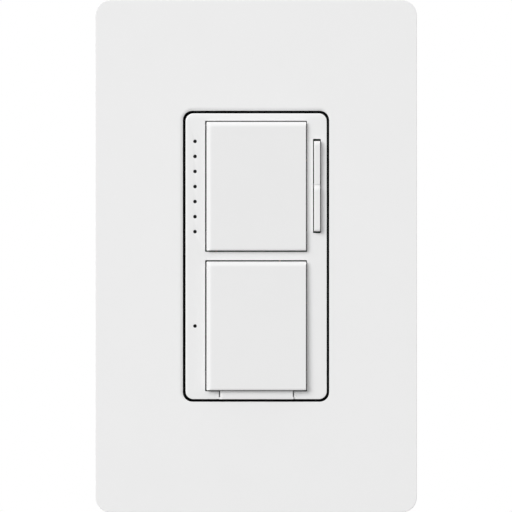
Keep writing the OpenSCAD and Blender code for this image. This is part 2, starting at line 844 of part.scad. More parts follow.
// Flat power device: metal tab, moulded body and three bent legs
module triac() {
    tab_len = 6.5;
    body_len = 9.1;
    half_h = 5;
    body_x1 = triac_x0 + tab_len + body_len;
    leg_x = body_x1 + 2.6;
    color("dimgray") translate([0, 0, triac_z]) {
        difference() {
            block([triac_x0, triac_y, -half_h],
                  [triac_x0 + tab_len + 1, triac_y + 1.3, half_h]);
            translate([triac_hole_x, 0, 0]) bar_y(1.8, triac_y - 1, triac_y + 3);
        }
        block([triac_x0 + tab_len, triac_y, -half_h], [body_x1, triac_y + 4.4, half_h]);
        for (i = [-1, 0, 1]) {
            block([body_x1 - eps, 2.6, i * 2.54 - 0.4], [leg_x, 3.1, i * 2.54 + 0.4]);
            block([leg_x - 0.5, 2.6, i * 2.54 - 0.4], [leg_x, power_y, i * 2.54 + 0.4]);
        }
    }
}

// Insulating pad between the power device and the yoke
module triac_pad() {
    color("gainsboro") difference() {
        block([triac_x0 - 0.6, 0, triac_z - 5.8], [triac_x0 + 16.4, triac_y, triac_z + 4.55]);
        translate([triac_hole_x, 0, triac_z]) bar_y(1.8, -1, 1);
    }
}

module triac_screw() {
    seat_y = triac_y + 1.3;
    color("silver") translate([triac_hole_x, 0, triac_z]) {
        difference() {
            bar_y(2.6, seat_y, seat_y + 1.6);
            block([-3, seat_y + 0.9, -0.4], [3, seat_y + 3, 0.4]);
        }
        bar_y(1.4, yoke_face_y, seat_y + eps);
    }
}

module relay() {
    color("royalblue") block([-18.5, power_back_y, -25], [0.5, power_back_y + 14.8, -9.8]);
}

// Ring core, axis along Y
module choke_core() {
    color("dimgray") translate([choke_x, 0, choke_z]) difference() {
        bar_y(core_r1, core_y0, core_y1);
        bar_y(core_r0, core_y0 - 1, core_y1 + 1);
    }
}

// Turns of enamelled wire round the core
module choke_winding() {
    turns = 16;
    wire = 0.9;
    gap = 0.1;
    mid_r = (core_r0 + core_r1) / 2;
    span_r = core_r1 - core_r0 + 2 * gap;
    span_y = core_y1 - core_y0 + 2 * gap;
    color("chocolate") translate([choke_x, (core_y0 + core_y1) / 2, choke_z])
        for (i = [0:turns - 1])
            rotate([0, 360 * i / turns, 0]) translate([mid_r, 0, 0])
                linear_extrude(wire, center = true) difference() {
                    round_rect(span_r + 2 * wire, span_y + 2 * wire, 0.8);
                    square([span_r, span_y], center = true);
                }
}

module film_capacitor() {
    color("goldenrod")
        block([-18.3, power_back_y, 4], [-10.3, power_back_y + 14, 21]);
}

// Can with a stepped rubber bung
module electrolytic_capacitor() {
    color("midnightblue") translate([-5.6, 0, 21.4]) {
        bar_y(3.8, power_back_y + 0.8, power_back_y + 12);
        bar_y(3.3, power_back_y, power_back_y + 0.8 + eps);
    }
}

// Disc with two legs
module varistor() {
    disc_y = power_back_y + 7.5;
    color("steelblue") translate([12, 0, -6]) {
        translate([0, disc_y, -2]) cylinder(r = 5.2, h = 4);
        for (x = [-2.5, 2.5])
            block([x - 0.35, power_back_y, -0.35], [x + 0.35, disc_y - 3, 0.35]);
    }
}

// A part lying along X on two bent legs
module axial_part(r, len, lead_r, rise) {
    half = len / 2 + 1.6;
    translate([0, power_back_y + rise, 0]) {
        bar_x(r, -len / 2, len / 2);
        bar_x(lead_r, -half, half);
    }
    for (side = [-1, 1])
        translate([side * (half - lead_r), 0, 0])
            bar_y(lead_r, power_back_y, power_back_y + rise);
}

module thermal_fuse() {
    color("white") translate([10, 0, -14]) axial_part(1.7, 8, 0.4, 2.2);
}

module power_resistors() {
    color("tan") for (z = [-18, -22.4])
        translate([8, 0, z]) axial_part(1.5, 7, 0.4, 2);
}

// ---------- terminals ----------

// Brass plates in the housing's pockets, each with a leg to the power board
module terminal_plates() {
    plate_x = housing_w / 2 - 1;
    color("goldenrod") each_terminal() difference() {
        union() {
            block([plate_x, terminal_y - 4.1, -4],
                  [plate_x + 0.8, power_back_y + 0.8, 4]);
            block([18.6, power_back_y, -1.8], [plate_x + eps, power_back_y + 0.8, 1.8]);
        }
        translate([0, terminal_y, 0]) bar_x(1.75, plate_x - 1, plate_x + 2);
    }
}

// Binding screws, backed off far enough to take a wire
module terminal_screws() {
    head_x = housing_w / 2 + 1;
    color("darkgoldenrod") each_terminal() translate([0, terminal_y, 0]) {
        difference() {
            bar_x(3.5, head_x, head_x + 1.8);
            block([head_x + 1, -4, -0.5], [head_x + 3, 4, 0.5]);
        }
        bar_x(1.7, 19.8, head_x + eps);
    }
}

wallplate_cover();
wallplate_adapter();
adapter_screws();
mounting_yoke();
box_screws();
ground_screw();
front_bezel();
dimmer_button();
switch_button();
dimmer_button_spring();
switch_button_spring();
dim_rocker();
service_tab();
airgap_bridge_contact();
airgap_fixed_contacts();
level_light_pipe();
switch_light_pipe();
level_leds();
switch_led();
control_board();
controller_chip();
control_parts();
dimmer_key_body();
dimmer_key_plunger();
switch_key_body();
switch_key_plunger();
raise_key_body();
raise_key_plunger();
lower_key_body();
lower_key_plunger();
board_header();
board_carrier();
power_board();
rear_housing();
housing_screws();
triac();
triac_pad();
triac_screw();
relay();
choke_core();
choke_winding();
film_capacitor();
electrolytic_capacitor();
varistor();
thermal_fuse();
power_resistors();
terminal_plates();
terminal_screws();
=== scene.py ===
import json
import math

import bmesh
import bpy
from mathutils import Matrix, Vector


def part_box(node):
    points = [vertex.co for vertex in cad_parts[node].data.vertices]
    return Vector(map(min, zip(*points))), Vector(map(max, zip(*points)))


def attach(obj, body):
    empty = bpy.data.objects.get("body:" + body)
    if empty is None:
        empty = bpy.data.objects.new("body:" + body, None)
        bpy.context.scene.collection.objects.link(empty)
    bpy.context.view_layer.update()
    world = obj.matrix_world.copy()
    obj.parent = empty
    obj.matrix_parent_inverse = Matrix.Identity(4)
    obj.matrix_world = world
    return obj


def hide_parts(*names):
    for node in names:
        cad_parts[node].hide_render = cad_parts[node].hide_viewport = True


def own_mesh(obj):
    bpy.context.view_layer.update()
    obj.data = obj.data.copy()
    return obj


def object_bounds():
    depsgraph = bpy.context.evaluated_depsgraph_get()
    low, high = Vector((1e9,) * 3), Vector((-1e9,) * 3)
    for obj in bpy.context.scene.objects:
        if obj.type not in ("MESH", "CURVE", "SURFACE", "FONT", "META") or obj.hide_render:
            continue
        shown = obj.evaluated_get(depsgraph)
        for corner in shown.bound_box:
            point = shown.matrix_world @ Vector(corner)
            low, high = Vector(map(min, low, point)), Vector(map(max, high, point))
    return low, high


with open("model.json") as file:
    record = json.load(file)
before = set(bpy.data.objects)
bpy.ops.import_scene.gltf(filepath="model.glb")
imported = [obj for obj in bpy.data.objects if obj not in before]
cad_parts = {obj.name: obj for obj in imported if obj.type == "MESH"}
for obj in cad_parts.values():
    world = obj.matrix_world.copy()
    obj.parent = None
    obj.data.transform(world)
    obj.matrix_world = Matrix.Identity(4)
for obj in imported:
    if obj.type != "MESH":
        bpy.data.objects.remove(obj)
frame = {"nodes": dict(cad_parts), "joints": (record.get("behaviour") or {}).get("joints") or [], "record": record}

# Lengths are in millimetres, and become metres where a mesh is made. X runs to the right,
# Z up and Y into the wall, so the front of everything is on its low-Y side.
MM = 0.001
SLIVER = 0.002
# Pieces that are to be joined reach this far into each other
OVERLAP = 0.02
# Steps round a rectangle's corner, rows round a slab's front edge, and how many degrees an
# edge of a new piece must turn to be shaded as sharp
CORNER_STEPS = 6
FRONT_ROWS = 9
SHARP_ANGLE = 32
cad_low, cad_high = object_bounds()


# ---------- paths and loops ----------

def node_box(node):
    """A CAD node's lowest and highest corners, in mm."""
    low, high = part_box(node)
    return low / MM, high / MM


def rect_path(x0, x1, z0, z1, radius):
    """A rectangle with round corners as (x, z) points, anticlockwise seen from the front."""
    corners = ((x0, z0, 1, 1, 180), (x1, z0, -1, 1, 270), (x1, z1, -1, -1, 0), (x0, z1, 1, -1, 90))
    path = []
    for x, z, sx, sz, start in corners:
        for i in range(CORNER_STEPS + 1):
            a = math.radians(start + 90 * i / CORNER_STEPS)
            path.append(Vector((x + sx * radius + radius * math.cos(a),
                                z + sz * radius + radius * math.sin(a))))
    return path


def rounded_path(corners, steps):
    """A polygon of (x, z, radius) corners, anticlockwise, with every corner rounded."""
    path = []
    for i, (x, z, radius) in enumerate(corners):
        here = Vector((x, z))
        a = (Vector(corners[i - 1][:2]) - here).normalized()
        b = (Vector(corners[(i + 1) % len(corners)][:2]) - here).normalized()
        half = a.angle(b) / 2
        centre = here + (a + b).normalized() * (radius / math.sin(half))
        first = here + a * (radius / math.tan(half)) - centre
        last = here + b * (radius / math.tan(half)) - centre
        turn = math.atan2(first.x * last.y - first.y * last.x, first.dot(last))
        for k in range(steps + 1):
            c, s = math.cos(turn * k / steps), math.sin(turn * k / steps)
            path.append(centre + Vector((first.x * c - first.y * s, first.x * s + first.y * c)))
    return path


def circle_path(x, z, radius):
    count = 24
    return [Vector((x + radius * math.cos(2 * math.pi * i / count),
                    z + radius * math.sin(2 * math.pi * i / count))) for i in range(count)]


def arc_angle(index):
    """The direction in which a rect_path point faces outward."""
    corner, step = divmod(index, CORNER_STEPS + 1)
    return math.radians((180, 270, 0, 90)[corner] + 90 * step / CORNER_STEPS)


def lit_side(angle):
    """1 where an edge lies on the left or at the top, falling to 0 on the right and below."""
    return max(-math.cos(angle), math.sin(angle), 0)


def blend(low, high, weight):
    return low + (high - low) * weight


def inset(path, distance):
    """The path moved inward; distance is a function of the point."""
    moved = []
    for i, p in enumerate(path):
        before = (p - path[i - 1]).normalized()
        after = (path[(i + 1) % len(path)] - p).normalized()
        normal = Vector((-before.y, before.x))
        mitre = (normal + Vector((-after.y, after.x))).normalized()
        moved.append(p + mitre * (distance(p) / max(0.4, mitre.dot(normal))))
    return moved


def at(path, y):
    """The path at depth y."""
    return [Vector((p.x, y, p.y)) for p in path]


def quarter(steps):
    """(1 - cos, 1 - sin) round a quarter turn, from the side of an edge to its face."""
    angles = [math.pi / 2 * i / steps for i in range(steps + 1)]
    return [(1 - math.cos(a), 1 - math.sin(a)) for a in angles]


def eased_loops(x, z, corner, face_y, back, reach, depth, grow=0.5):
    """Loops of a slab whose front edges are rounded. reach and depth are for its left, right,
    bottom and top edge; face_y gives the face's depth at a height; the corner's radius grows by
    grow from the sides to the face."""
    loops = [at(rect_path(*x, *z, corner), back)]
    for a, b in quarter(FRONT_ROWS):
        path = rect_path(x[0] + reach[0] * a, x[1] - reach[1] * a, z[0] + reach[2] * a,
                         z[1] - reach[3] * a, corner + grow * a)
        loop = []
        for i, p in enumerate(path):
            across, along = math.cos(arc_angle(i)), math.sin(arc_angle(i))
            deep = (depth[0 if across < 0 else 1] * across ** 2
                    + depth[3 if along > 0 else 2] * along ** 2)
            loop.append(Vector((p.x, face_y(p.y) + deep * b, p.y)))
        loops.append(loop)
    return loops


# ---------- meshes ----------

def make_object(name, mesh):
    """An object from a bmesh in mm."""
    bmesh.ops.remove_doubles(mesh, verts=mesh.verts, dist=1e-4)
    bmesh.ops.recalc_face_normals(mesh, faces=mesh.faces)
    bmesh.ops.scale(mesh, vec=(MM, MM, MM), verts=mesh.verts)
    data = bpy.data.meshes.new(name)
    mesh.to_mesh(data)
    mesh.free()
    made = bpy.data.objects.new(name, data)
    bpy.context.scene.collection.objects.link(made)
    return made


def add_rows(mesh, loops, closed=False):
    rows = [[mesh.verts.new(p) for p in loop] for loop in loops]
    for a, b in zip(rows, rows[1:] + (rows[:1] if closed else [])):
        for i in range(len(a)):
            j = (i + 1) % len(a)
            mesh.faces.new((a[i], a[j], b[j], b[i]))
    return rows


def solid(name, loops):
    """A solid through loops of points, closed at both ends."""
    mesh = bmesh.new()
    rows = add_rows(mesh, loops)
    mesh.faces.new(rows[0])
    mesh.faces.new(rows[-1])
    return make_object(name, mesh)


def ring_solid(name, loops):
    """A solid ring whose last loop joins the first."""
    mesh = bmesh.new()
    add_rows(mesh, loops, closed=True)
    return make_object(name, mesh)


def pierced_plate(name, outline, holes, front, back, edge, hole_edge):
    """A flat plate with holes, whose front edges are rounded. edge and hole_edge give the reach and
    the depth of a rounding: a pair of numbers, or a function of the point that returns one."""
    mesh = bmesh.new()
    fronts, backs = [], []
    for k, path in enumerate([outline] + holes):
        sign, width = (1, edge) if k == 0 else (-1, hole_edge)
        size = width if callable(width) else (lambda p, w=width: w)
        loops = [at(path, back)]
        for a, b in quarter(4):
            moved = inset(path, lambda p, a=a: sign * a * size(p)[0])
            loops.append([Vector((q.x, front + b * size(p)[1], q.y)) for p, q in zip(path, moved)])
        rows = add_rows(mesh, loops)
        for row, store in ((rows[-1], fronts), (rows[0], backs)):
            for i in range(len(row)):
                store.append(mesh.edges.get((row[i - 1], row[i])))
    for edges in (fronts, backs):
        bmesh.ops.triangle_fill(mesh, edges=edges, use_beauty=True, use_dissolve=False)
    return make_object(name, mesh)


def block(name, low, high, bevel=0.0):
    """A box from its lowest to its highest corner, with its edges rounded."""
    mesh = bmesh.new()
    x0, y0, z0 = low
    x1, y1, z1 = high
    add = [mesh.verts.new(p) for p in ((x0, y0, z0), (x1, y0, z0), (x1, y1, z0), (x0, y1, z0),
                                       (x0, y0, z1), (x1, y0, z1), (x1, y1, z1), (x0, y1, z1))]
    for f in ((0, 1, 2, 3), (4, 5, 6, 7), (0, 1, 5, 4), (1, 2, 6, 5), (2, 3, 7, 6), (3, 0, 4, 7)):
        mesh.faces.new([add[i] for i in f])
    if bevel:
        bmesh.ops.bevel(mesh, geom=list(mesh.edges), offset=bevel, segments=2,
                        profile=0.5, affect="EDGES", clamp_overlap=True)
    return make_object(name, mesh)


def turned(name, centre, axis, profile, count=32):
    """A turned solid. profile lists (distance along the axis, radius), where a radius may be a
    function of the angle; axis is "x" or "y"; centre gives the other two coordinates."""
    loops = []
    for along, radius in profile:
        loop = []
        for i in range(count):
            a = 2 * math.pi * i / count
            r = radius(a) if callable(radius) else radius
            u, v = r * math.cos(a), r * math.sin(a)
            if axis == "y":
                loop.append(Vector((centre[0] + u, along, centre[1] + v)))
            else:
                loop.append(Vector((along, centre[0] + u, centre[1] + v)))
        loops.append(loop)
    return solid(name, loops)


def combine(target, others, operation):
    """Joins the others to the target, or cuts them from it, as one closed mesh."""
    for other in others:
        modifier = target.modifiers.new("combine", "BOOLEAN")
        modifier.operation = operation
        modifier.solver = "EXACT"
        modifier.object = other
        graph = bpy.context.evaluated_depsgraph_get()
        data = bpy.data.meshes.new_from_object(target.evaluated_get(graph))
        target.modifiers.clear()
        target.data = data
        bpy.data.objects.remove(other)
    return target


def clean(made):
    """Removes the slivers that cutting leaves."""
    mesh = bmesh.new()
    mesh.from_mesh(made.data)
    bmesh.ops.dissolve_degenerate(mesh, dist=SLIVER * MM, edges=mesh.edges)
    mesh.to_mesh(made.data)
    mesh.free()
    return made


def shade(made):
    for polygon in made.data.polygons:
        polygon.use_smooth = True
    made.data.set_sharp_from_angle(angle=math.radians(SHARP_ANGLE))
    modifier = made.modifiers.new("normals", "WEIGHTED_NORMAL")
    modifier.keep_sharp = True


def piece(made, body, nodes, slot):
    """Finishes a new piece: its material, its shading, its body and the nodes it stands for."""
    made.data.materials.clear()
    made.data.materials.append(MATERIALS[slot])
    shade(made)
    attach(made, body)
    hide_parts(*nodes)


# ---------- materials ----------

def start(name):
    material = bpy.data.materials.new(name)
    material.use_nodes = True
    tree = material.node_tree
    shader = next(n for n in tree.nodes if n.type == "BSDF_PRINCIPLED")
    return material, tree, shader


def noise(tree, scale, detail, stretch=(1, 1, 1)):
    """Noise with scale features per metre, stretched along the axes."""
    where = tree.nodes.new("ShaderNodeTexCoord")
    mapping = tree.nodes.new("ShaderNodeMapping")
    mapping.inputs["Scale"].default_value = stretch
    texture = tree.nodes.new("ShaderNodeTexNoise")
    texture.inputs["Scale"].default_value = scale
    texture.inputs["Detail"].default_value = detail
    tree.links.new(where.outputs["Object"], mapping.inputs["Vector"])
    tree.links.new(mapping.outputs["Vector"], texture.inputs["Vector"])
    return texture.outputs["Fac"]


def ramp(tree, value, stops):
    """Colours from (position, colour) stops."""
    node = tree.nodes.new("ShaderNodeValToRGB")
    elements = node.color_ramp.elements
    while len(elements) < len(stops):
        elements.new(0.5)
    for element, (position, colour) in zip(elements, stops):
        element.position = position
        element.color = (*colour, 1)
    tree.links.new(value, node.inputs["Fac"])
    return node.outputs["Color"]


def spread(tree, value, low, high, start_at=0.3, end_at=0.7):
    """The value mapped to run from low to high."""
    node = tree.nodes.new("ShaderNodeMapRange")
    node.inputs["From Min"].default_value = start_at
    node.inputs["From Max"].default_value = end_at
    node.inputs["To Min"].default_value = low
    node.inputs["To Max"].default_value = high
    tree.links.new(value, node.inputs["Value"])
    return node.outputs["Result"]


def tint(colour, factor):
    return tuple(min(1.0, c * factor) for c in colour)


def add_bump(tree, shader, value, depth):
    """A bump of that depth in mm."""
    node = tree.nodes.new("ShaderNodeBump")
    node.inputs["Strength"].default_value = 1.0
    node.inputs["Distance"].default_value = depth * MM
    tree.links.new(value, node.inputs["Height"])
    tree.links.new(node.outputs["Normal"], shader.inputs["Normal"])


def moulded(name, colour, vary, rough, grain, depth, metallic=0.0, flow=90):
    """Moulded or coated surface: a slow drift of tone, a fine grain and uneven gloss."""
    material, tree, shader = start(name)
    drift = noise(tree, flow, 3)
    tones = [(0.3, tint(colour, 1 - vary)), (0.7, tint(colour, 1 + vary))]
    tree.links.new(ramp(tree, drift, tones), shader.inputs["Base Color"])
    fine = noise(tree, grain, 3)
    tree.links.new(spread(tree, noise(tree, grain / 6, 3), *rough), shader.inputs["Roughness"])
    add_bump(tree, shader, fine, depth)
    shader.inputs["Metallic"].default_value = metallic
    return material


def metal(name, colour, rough=(0.25, 0.42), brush=(1, 1, 1), vary=0.08):
    """Bare metal: fine drawn marks, uneven gloss and a little tarnish."""
    material, tree, shader = start(name)
    marks = noise(tree, 1800, 4, brush)
    stain = noise(tree, 260, 4)
    tones = [(0.3, tint(colour, 1 - vary)), (0.65, tint(colour, 1 + vary))]
    tree.links.new(ramp(tree, stain, tones), shader.inputs["Base Color"])
    tree.links.new(spread(tree, marks, *rough), shader.inputs["Roughness"])
    add_bump(tree, shader, marks, 0.004)
    shader.inputs["Metallic"].default_value = 1.0
    return material


def board(name):
    """Circuit board: solder mask over copper tracks, with vias."""
    material, tree, shader = start(name)
    where = tree.nodes.new("ShaderNodeTexCoord")
    split = tree.nodes.new("ShaderNodeSeparateXYZ")
    flat = tree.nodes.new("ShaderNodeCombineXYZ")
    tree.links.new(where.outputs["Object"], split.inputs["Vector"])
    tree.links.new(split.outputs["X"], flat.inputs["X"])
    tree.links.new(split.outputs["Z"], flat.inputs["Y"])
    cells = tree.nodes.new("ShaderNodeTexBrick")
    cells.inputs["Scale"].default_value = 1
    cells.inputs["Brick Width"].default_value = 0.0071
    cells.inputs["Row Height"].default_value = 0.0013
    cells.inputs["Mortar Size"].default_value = 0.00016
    cells.inputs["Mortar Smooth"].default_value = 0.2
    tree.links.new(flat.outputs["Vector"], cells.inputs["Vector"])
    vias = tree.nodes.new("ShaderNodeTexVoronoi")
    vias.inputs["Scale"].default_value = 420
    tree.links.new(flat.outputs["Vector"], vias.inputs["Vector"])
    hole = tree.nodes.new("ShaderNodeMath")
    hole.operation = "LESS_THAN"
    hole.inputs[1].default_value = 0.16
    tree.links.new(vias.outputs["Distance"], hole.inputs[0])
    mask = ramp(tree, noise(tree, 160, 3),
                [(0.3, (0.012, 0.10, 0.035)), (0.7, (0.018, 0.14, 0.05))])
    tracks = tree.nodes.new("ShaderNodeMix")
    tracks.data_type = "RGBA"
    tracks.inputs[7].default_value = (0.035, 0.24, 0.08, 1)
    tree.links.new(cells.outputs["Fac"], tracks.inputs[0])
    tree.links.new(mask, tracks.inputs[6])
    pads = tree.nodes.new("ShaderNodeMix")
    pads.data_type = "RGBA"
    pads.inputs[7].default_value = (0.55, 0.42, 0.20, 1)
    tree.links.new(hole.outputs["Value"], pads.inputs[0])
    tree.links.new(tracks.outputs[2], pads.inputs[6])
    tree.links.new(pads.outputs[2], shader.inputs["Base Color"])
    tree.links.new(spread(tree, noise(tree, 2500, 2), 0.28, 0.4), shader.inputs["Roughness"])
    add_bump(tree, shader, cells.outputs["Fac"], 0.02)
    return material


def smoked(name, colour):
    """Dark clear plastic, almost black in the depth of a hole."""
    material = moulded(name, colour, 0.2, (0.25, 0.4), 3000, 0.001)
    shader = next(n for n in material.node_tree.nodes if n.type == "BSDF_PRINCIPLED")
    shader.inputs["Specular IOR Level"].default_value = 0.25
    return material


WHITE_PLATE = (0.847, 0.847, 0.847)
WHITE_INSERT = (0.826, 0.826, 0.826)
WHITE_BUTTON = (0.82, 0.82, 0.82)

MATERIALS = {
    "plate_plastic": moulded("plate_plastic", WHITE_PLATE, 0.004, (0.46, 0.56), 4500, 0.0012),
    "bezel_plastic": moulded("bezel_plastic", WHITE_INSERT, 0.005, (0.44, 0.54), 5000, 0.0012),
    "button_plastic": moulded("button_plastic", WHITE_BUTTON, 0.005, (0.42, 0.52), 5500, 0.0012),
    "rocker_plastic": moulded("rocker_plastic", WHITE_INSERT, 0.005, (0.42, 0.52), 5500, 0.0012),
    "adapter_plastic": moulded("adapter_plastic", (0.60, 0.60, 0.58), 0.03, (0.5, 0.65), 2600,
                               0.006),
    # Near black partly as a black-coated yoke, and darker still as painted shade at the bottom of the gap round
    # the insert
    "yoke_metal": moulded("yoke_metal", (0.016, 0.0165, 0.018), 0.12, (0.42, 0.58), 3200, 0.006,
                          0.6, 300),
    "screw_steel": metal("screw_steel", (0.60, 0.60, 0.58), (0.22, 0.4), (1, 0.15, 1)),
    "green_screw": moulded("green_screw", (0.03, 0.27, 0.09), 0.12, (0.25, 0.4), 1800, 0.004, 0.7),
    "spring_steel": metal("spring_steel", (0.55, 0.56, 0.58)),
    "brass_contact": metal("brass_contact", (0.78, 0.58, 0.25), (0.2, 0.34), (1, 1, 0.1)),
    "terminal_brass": metal("terminal_brass", (0.70, 0.50, 0.20), (0.24, 0.42), (0.2, 1, 1), 0.14),
    "light_pipe": smoked("light_pipe", (0.004, 0.0042, 0.0045)),
    "led_body": moulded("led_body", (0.86, 0.82, 0.66), 0.05, (0.3, 0.4), 4000, 0.002),
    "circuit_board": board("circuit_board"),
    "chip_black": moulded("chip_black", (0.025, 0.025, 0.026), 0.15, (0.5, 0.7), 4200, 0.006),
    "small_parts": moulded("small_parts", (0.38, 0.25, 0.14), 0.2, (0.35, 0.5), 2600, 0.004,
                           0.0, 700),
    "key_case": moulded("key_case", (0.06, 0.06, 0.065), 0.12, (0.45, 0.6), 3500, 0.004),
    "key_plunger": moulded("key_plunger", (0.025, 0.025, 0.025), 0.15, (0.4, 0.55), 3500, 0.003),
    "carrier_plastic": moulded("carrier_plastic", (0.50, 0.50, 0.47), 0.03, (0.5, 0.65), 2600,
                               0.006),
    "housing_plastic": moulded("housing_plastic", (0.045, 0.048, 0.052), 0.10, (0.5, 0.68), 2200,
                               0.012, 0.0, 140),
    "relay_case": moulded("relay_case", (0.03, 0.12, 0.42), 0.05, (0.35, 0.5), 3200, 0.003),
    "ferrite": moulded("ferrite", (0.06, 0.06, 0.065), 0.2, (0.6, 0.8), 1600, 0.02, 0.0, 500),
    "copper_wire": metal("copper_wire", (0.62, 0.25, 0.09), (0.22, 0.36), (1, 1, 1), 0.12),
    "film_case": moulded("film_case", (0.62, 0.42, 0.05), 0.06, (0.35, 0.5), 3000, 0.004),
    "can_sleeve": moulded("can_sleeve", (0.02, 0.03, 0.14), 0.1, (0.2, 0.32), 2600, 0.003),
    "varistor_disc": moulded("varistor_disc", (0.04, 0.15, 0.38), 0.12, (0.3, 0.45), 1500, 0.02),
    "fuse_body": moulded("fuse_body", (0.74, 0.72, 0.64), 0.04, (0.45, 0.6), 2600, 0.006),
    "resistor_body": moulded("resistor_body", (0.55, 0.40, 0.24), 0.08, (0.4, 0.55), 2400, 0.01),
    "thermal_pad": moulded("thermal_pad", (0.55, 0.58, 0.60), 0.06, (0.6, 0.75), 2200, 0.01),
}


# ---------- wall plate ----------

PLATE_R = 3.5
PLATE_EDGE = 0.1
OPENING_X, OPENING_Z, OPENING_R = (-17.07, 16.98), (-33.85, 33.84), 2.2
BEVEL_REACH, BEVEL_DEPTH = (0.1, 0.85), (0.05, 0.26)
LIP_WALL = 1.2
LIP_BACK = -3.6
PLATE_WALL = 2.0
INNER_R = 2.0
FILLET = 0.3
SMALL_EDGE = 0.15
BEVEL_ROWS = 6
# Snap ribs inside the plate's walls, centred at SNAP_Z on the sides and SNAP_X at the ends
SNAP_LEN, SNAP_PROUD, SNAP_SUNK, SNAP_EDGE = 8, 0.9, 0.5, 0.25
SNAP_Y, SNAP_Z, SNAP_X = (-1.4, -0.6), 30, 18


def plate_cover():
    low, high = node_box("wallplate_cover")
    face, under = low.y, low.y + PLATE_WALL

    def outer(gap, radius, y):
        return at(rect_path(low.x + gap, high.x - gap, low.z + gap, high.z - gap, radius), y)

    def inner(gap, y):
        return at(rect_path(OPENING_X[0] - gap, OPENING_X[1] + gap, OPENING_Z[0] - gap,
                            OPENING_Z[1] + gap, OPENING_R + gap), y)

    def bevel(t):
        loop = []
        for i, p in enumerate(inner(0, face)):
            a = arc_angle(i)
            reach, depth = (blend(*size, lit_side(a)) for size in (BEVEL_REACH, BEVEL_DEPTH))
            loop.append(p + Vector((math.cos(a) * reach * t, depth * (1 - t) ** 2,
                                    math.sin(a) * reach * t)))
        return loop

    loops = [outer(SMALL_EDGE, PLATE_R - SMALL_EDGE, 0), outer(0, PLATE_R, -SMALL_EDGE)]
    loops += [outer(PLATE_EDGE * a, PLATE_R - PLATE_EDGE * a, face + PLATE_EDGE * b)
              for a, b in quarter(6)]
    loops += [bevel(1 - i / BEVEL_ROWS) for i in range(BEVEL_ROWS + 1)]
    loops += [inner(0, LIP_BACK - SMALL_EDGE), inner(SMALL_EDGE, LIP_BACK),
              inner(LIP_WALL - SMALL_EDGE, LIP_BACK), inner(LIP_WALL, LIP_BACK - SMALL_EDGE),
              inner(LIP_WALL, under + FILLET), inner(LIP_WALL + FILLET, under),
              outer(PLATE_WALL + FILLET, INNER_R - FILLET, under),
              outer(PLATE_WALL, INNER_R, under + FILLET),
              outer(PLATE_WALL, INNER_R, -SMALL_EDGE),
              outer(PLATE_WALL - SMALL_EDGE, INNER_R + SMALL_EDGE, 0)]
    cover = ring_solid("plate_cover", loops)
    y0, y1 = SNAP_Y
    half = SNAP_LEN / 2
    inner_x, inner_z = high.x - PLATE_WALL, high.z - PLATE_WALL
    ribs = []
    for side in (-1, 1):
        for z in (-SNAP_Z, SNAP_Z):
            xs = sorted((side * (inner_x - SNAP_PROUD), side * (inner_x + SNAP_SUNK)))
            ribs.append(block("rib", (xs[0], y0, z - half), (xs[1], y1, z + half), SNAP_EDGE))
        for x in (-SNAP_X, SNAP_X):
            zs = sorted((side * (inner_z - SNAP_PROUD), side * (inner_z + SNAP_SUNK)))
            ribs.append(block("rib", (x - half, y0, zs[0]), (x + half, y1, zs[1]), SNAP_EDGE))
    combine(cover, ribs, "UNION")
    piece(cover, "cover", ["wallplate_cover"], "plate_plastic")


# ---------- insert ----------

BUTTON_X = (-11.56, 11.61)
APERTURE_X = (-11.865, 11.785)
APERTURE_R = 0.15
BEZEL_R = 1.8
LEFT_RIM, TOP_RIM, LOW_RIM = (0.6, 0.12), (1.4, 0.2), (0.08, 0.05)
HOLE_EDGE = (0.07, 0.07)
FACE_T = 1.8
WALL_T = 1.4
RIB_T = 1.2
RIB_BACK = -3.4
NOTCH_X = (-8.63, 8.7)
NOTCH_DEPTH, NOTCH_R, NOTCH_INNER_R = 1.6, 0.12, 0.25
SLIT_BACK = -3.2
SLIT_OUT, SLIT_IN = 0.05, 0.45
TAB_STEP_Z = -32.7
BLADE_HALF = 5.0
BLADE_Z = (-32.5, -31.6)
HINGE_Y = -5.0
PIN_R = 0.8
PIN_GAP = 0.05
SLOT_X = (13.225, 15.03)
SLOT_H = 21.9
BOSS_HALF, BOSS_SHORT = 3, 0.8
PIVOT_BORE_HALF, PIVOT_BORE_R = 1.76, 0.65
# The insert's right and top edges stop this far short of its CAD box
RIGHT_SHORT, TOP_SHORT = 0.04, 0.02
LIGHT_R = 0.415
UPPER_Z = (node_box("dimmer_button")[0].z - 0.285, node_box("dimmer_button")[1].z + 0.23)
LOWER_Z = (node_box("switch_button")[0].z - 0.24, node_box("switch_button")[1].z + 0.3)
joint_at = {j["name"]: [c / MM for c in j["pos_m"]] for j in frame["joints"] if j.get("pos_m")}
PIVOT = joint_at["dim_rocker_tilt"]
HINGES = [joint_at["dimmer_button_press"][2], joint_at["switch_button_press"][2]]
LIGHTS = node_box("level_leds")
LIGHT_X = (LIGHTS[0].x + LIGHTS[1].x) / 2
LIGHT_LOW, LIGHT_HIGH = LIGHTS[0].z + 0.4, LIGHTS[1].z - 0.4
SWITCH_LIGHT = sum(c.z for c in node_box("switch_led")) / 2
LEVEL_LIGHTS = [LIGHT_LOW + (LIGHT_HIGH - LIGHT_LOW) * i / 6 for i in range(7)]


